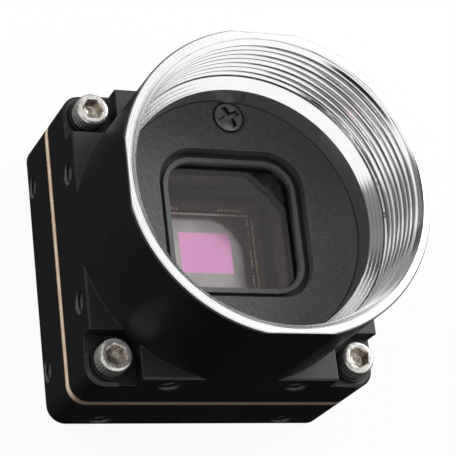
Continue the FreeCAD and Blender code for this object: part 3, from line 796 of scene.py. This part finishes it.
def tapped_holes():
    """Threads cut in the holes of the four sides."""
    bm = bmesh.new()
    turns = int(HOLE_DEPTH / HOLE_PITCH) + 2
    grid = []
    for row in (k / 4 for k in range(turns * 4)):
        line = []
        for k in range(HOLE_STEPS + 1):
            angle = TURN * k / HOLE_STEPS
            z = (row - 1.0 + k / HOLE_STEPS) * HOLE_PITCH
            z = -max(HOLE_END, min(HOLE_DEPTH - HOLE_END, z))
            radius = HOLE_R - HOLE_FIT
            if z <= -HOLE_MOUTH:
                radius -= HOLE_THREAD * (1 - abs(row % 1.0 - 0.5) * 2)
            line.append(bm.verts.new((radius * math.cos(angle), radius * math.sin(angle), z)))
        grid.append(line)
    for a, b in zip(grid, grid[1:]):
        for k in range(HOLE_STEPS):
            bm.faces.new((a[k], a[k + 1], b[k + 1], b[k]))
    clean(bm, 10 * TINY)
    bmesh.ops.reverse_faces(bm, faces=bm.faces)
    mesh = to_mesh(bm, "tapped_hole")
    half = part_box("front_housing")[1].x
    places = []
    for off, z in (FRONT_HOLES, REAR_HOLES):
        for side in range(4):
            turn = Matrix.Rotation(side * TURN / 4, 4, "Z")
            for s in (1, -1):
                mouth = Matrix.Translation((half, s * off, z))
                places.append(turn @ mouth @ Matrix.Rotation(TURN / 4, 4, "Y"))
    metal = steel("hole_metal", grey(0.11), 0.4, 0.000004, 0.6, 0.3)
    add_piece(copies("side_hole_threads", mesh, places), (metal,), SCREW_SHARP)


# ---------------------------------------------------------------- floor, light, world
FLOOR_HALF = 1.5
FLOOR_GAP = 0.02 * MM         # below the rear face
FLOOR_GLOW = 0.93             # share of the floor that is plain white to the camera
LIGHT_AIM = Vector((0, 0, 13 * MM))
LAMP_DISTANCE = 0.60
SKY_DARK, SKY_BRIGHT = 0.01, 1.0
HORIZON = (-0.15, 0.3)        # the sky brightens between these heights
DIFFUSE_SKY = 0.29            # share of the sky that lights matt surfaces
# lamps: direction, side, power, whether polished surfaces mirror it
LAMPS = {
    "key": ((0.45, 0.38, 0.81), 0.55, 0.76, True),
    "right": ((0.78, 0.36, 0.50), 0.32, 3.2, True),
    "left": ((-0.80, 0.50, 0.34), 0.30, 3.8, False),
}
# dimmer and brighter places in the studio sky: direction, full to, gone by (degrees), gain;
# the first is behind the key lamp, the last is a card below the part
SKY_PATCHES = (
    ((0.45, 0.38, 0.81), 24, 30, 0.04),
    ((-0.22, -0.26, 0.94), 11, 18, 0.02),
    ((-0.80, 0.48, 0.36), 25, 33, 0.22),
    ((-0.55, 0.35, 0.76), 6, 16, 0.34),
    ((-0.30, 0.80, 0.50), 12, 24, 0.28),
    ((0.42, 0.33, -0.85), 12, 28, 11.0),
)
LENS = 151.557
CAMERA_AT = (-0.063659, -0.058056, 0.155049)
CAMERA_RIGHT = (0.922299, -0.110935, 0.370212)
CAMERA_UP = (-0.035962, 0.929128, 0.368006)
CAMERA_BACK = (-0.384799, -0.352725, 0.852944)


def floor():
    bm = bmesh.new()
    bmesh.ops.create_grid(bm, x_segments=8, y_segments=8, size=FLOOR_HALF)
    obj = link("studio_floor", to_mesh(bm, "studio_floor"))
    obj.location.z = -FLOOR_GAP
    b = Build("floor_white", grey(0.88), 0.0, 0.9)
    b.colour(b.ramp(b.noise(6), grey(0.86), grey(0.9)))
    glow = b.node("ShaderNodeEmission")
    ray = b.node("ShaderNodeLightPath")
    share = b.math("MULTIPLY", ray.outputs["Is Camera Ray"], FLOOR_GLOW)
    b.swap_shader(share, glow.outputs["Emission"])
    obj.data.materials.append(b.mat)
    obj.visible_glossy = False
    obj.visible_diffuse = False


def lamp(name, direction, size, power, mirrored):
    """Soft square lamp that faces the part from a direction."""
    data = bpy.data.lights.new(name, "AREA")
    data.shape = "SQUARE"
    data.size = size
    data.energy = power
    obj = link(name, data)
    aim = Vector(direction).normalized()
    obj.location = LIGHT_AIM + aim * LAMP_DISTANCE
    obj.rotation_euler = aim.to_track_quat("Z", "Y").to_euler()
    obj.visible_glossy = mirrored


def world():
    """White to the camera; to the part, a sky that darkens below, with dim places and a card."""
    made = bpy.data.worlds.new("studio_world")
    bpy.context.scene.world = made
    made.use_nodes = True
    made.node_tree.nodes.clear()
    b = Nodes(made.node_tree)
    direction = b.coord.outputs["Generated"]
    sky = b.span(b.axis(direction, 2), SKY_DARK, SKY_BRIGHT, *HORIZON)
    for middle, inner, outer, gain in SKY_PATCHES:
        dot = b.dot(direction)
        dot.inputs[1].default_value = Vector(middle).normalized()
        rim, core = math.cos(math.radians(outer)), math.cos(math.radians(inner))
        patch = b.span(dot.outputs["Value"], 1.0, gain, rim, core, "SMOOTHSTEP")
        sky = b.math("MULTIPLY", sky, patch)
    ray = b.node("ShaderNodeLightPath")
    seen = b.math("MAXIMUM", ray.outputs["Is Glossy Ray"], ray.outputs["Is Transmission Ray"])
    sky = b.math("MULTIPLY", sky, b.span(seen, DIFFUSE_SKY, 1.0))
    back = b.node("ShaderNodeBackground")
    b.put(grey(1.0), back.inputs["Color"])
    b.join(b.math("MAXIMUM", sky, ray.outputs["Is Camera Ray"]), back.inputs["Strength"])
    out = b.node("ShaderNodeOutputWorld")
    b.join(back.outputs[0], out.inputs["Surface"])


def camera():
    data = bpy.data.cameras.new("camera")
    data.sensor_width = 36.0
    data.lens = LENS
    data.clip_start = 2 * MM
    obj = link("camera", data)
    turn = Matrix((CAMERA_RIGHT, CAMERA_UP, CAMERA_BACK)).transposed().to_4x4()
    obj.matrix_world = Matrix.Translation(CAMERA_AT) @ turn
    bpy.context.scene.camera = obj


dress_nodes()
lens_ring()
housing_screws()
retainer_screws()
tapped_holes()
floor()
for name, settings in LAMPS.items():
    lamp(name, *settings)
world()
camera()
bpy.context.scene.view_settings.view_transform = "Standard"
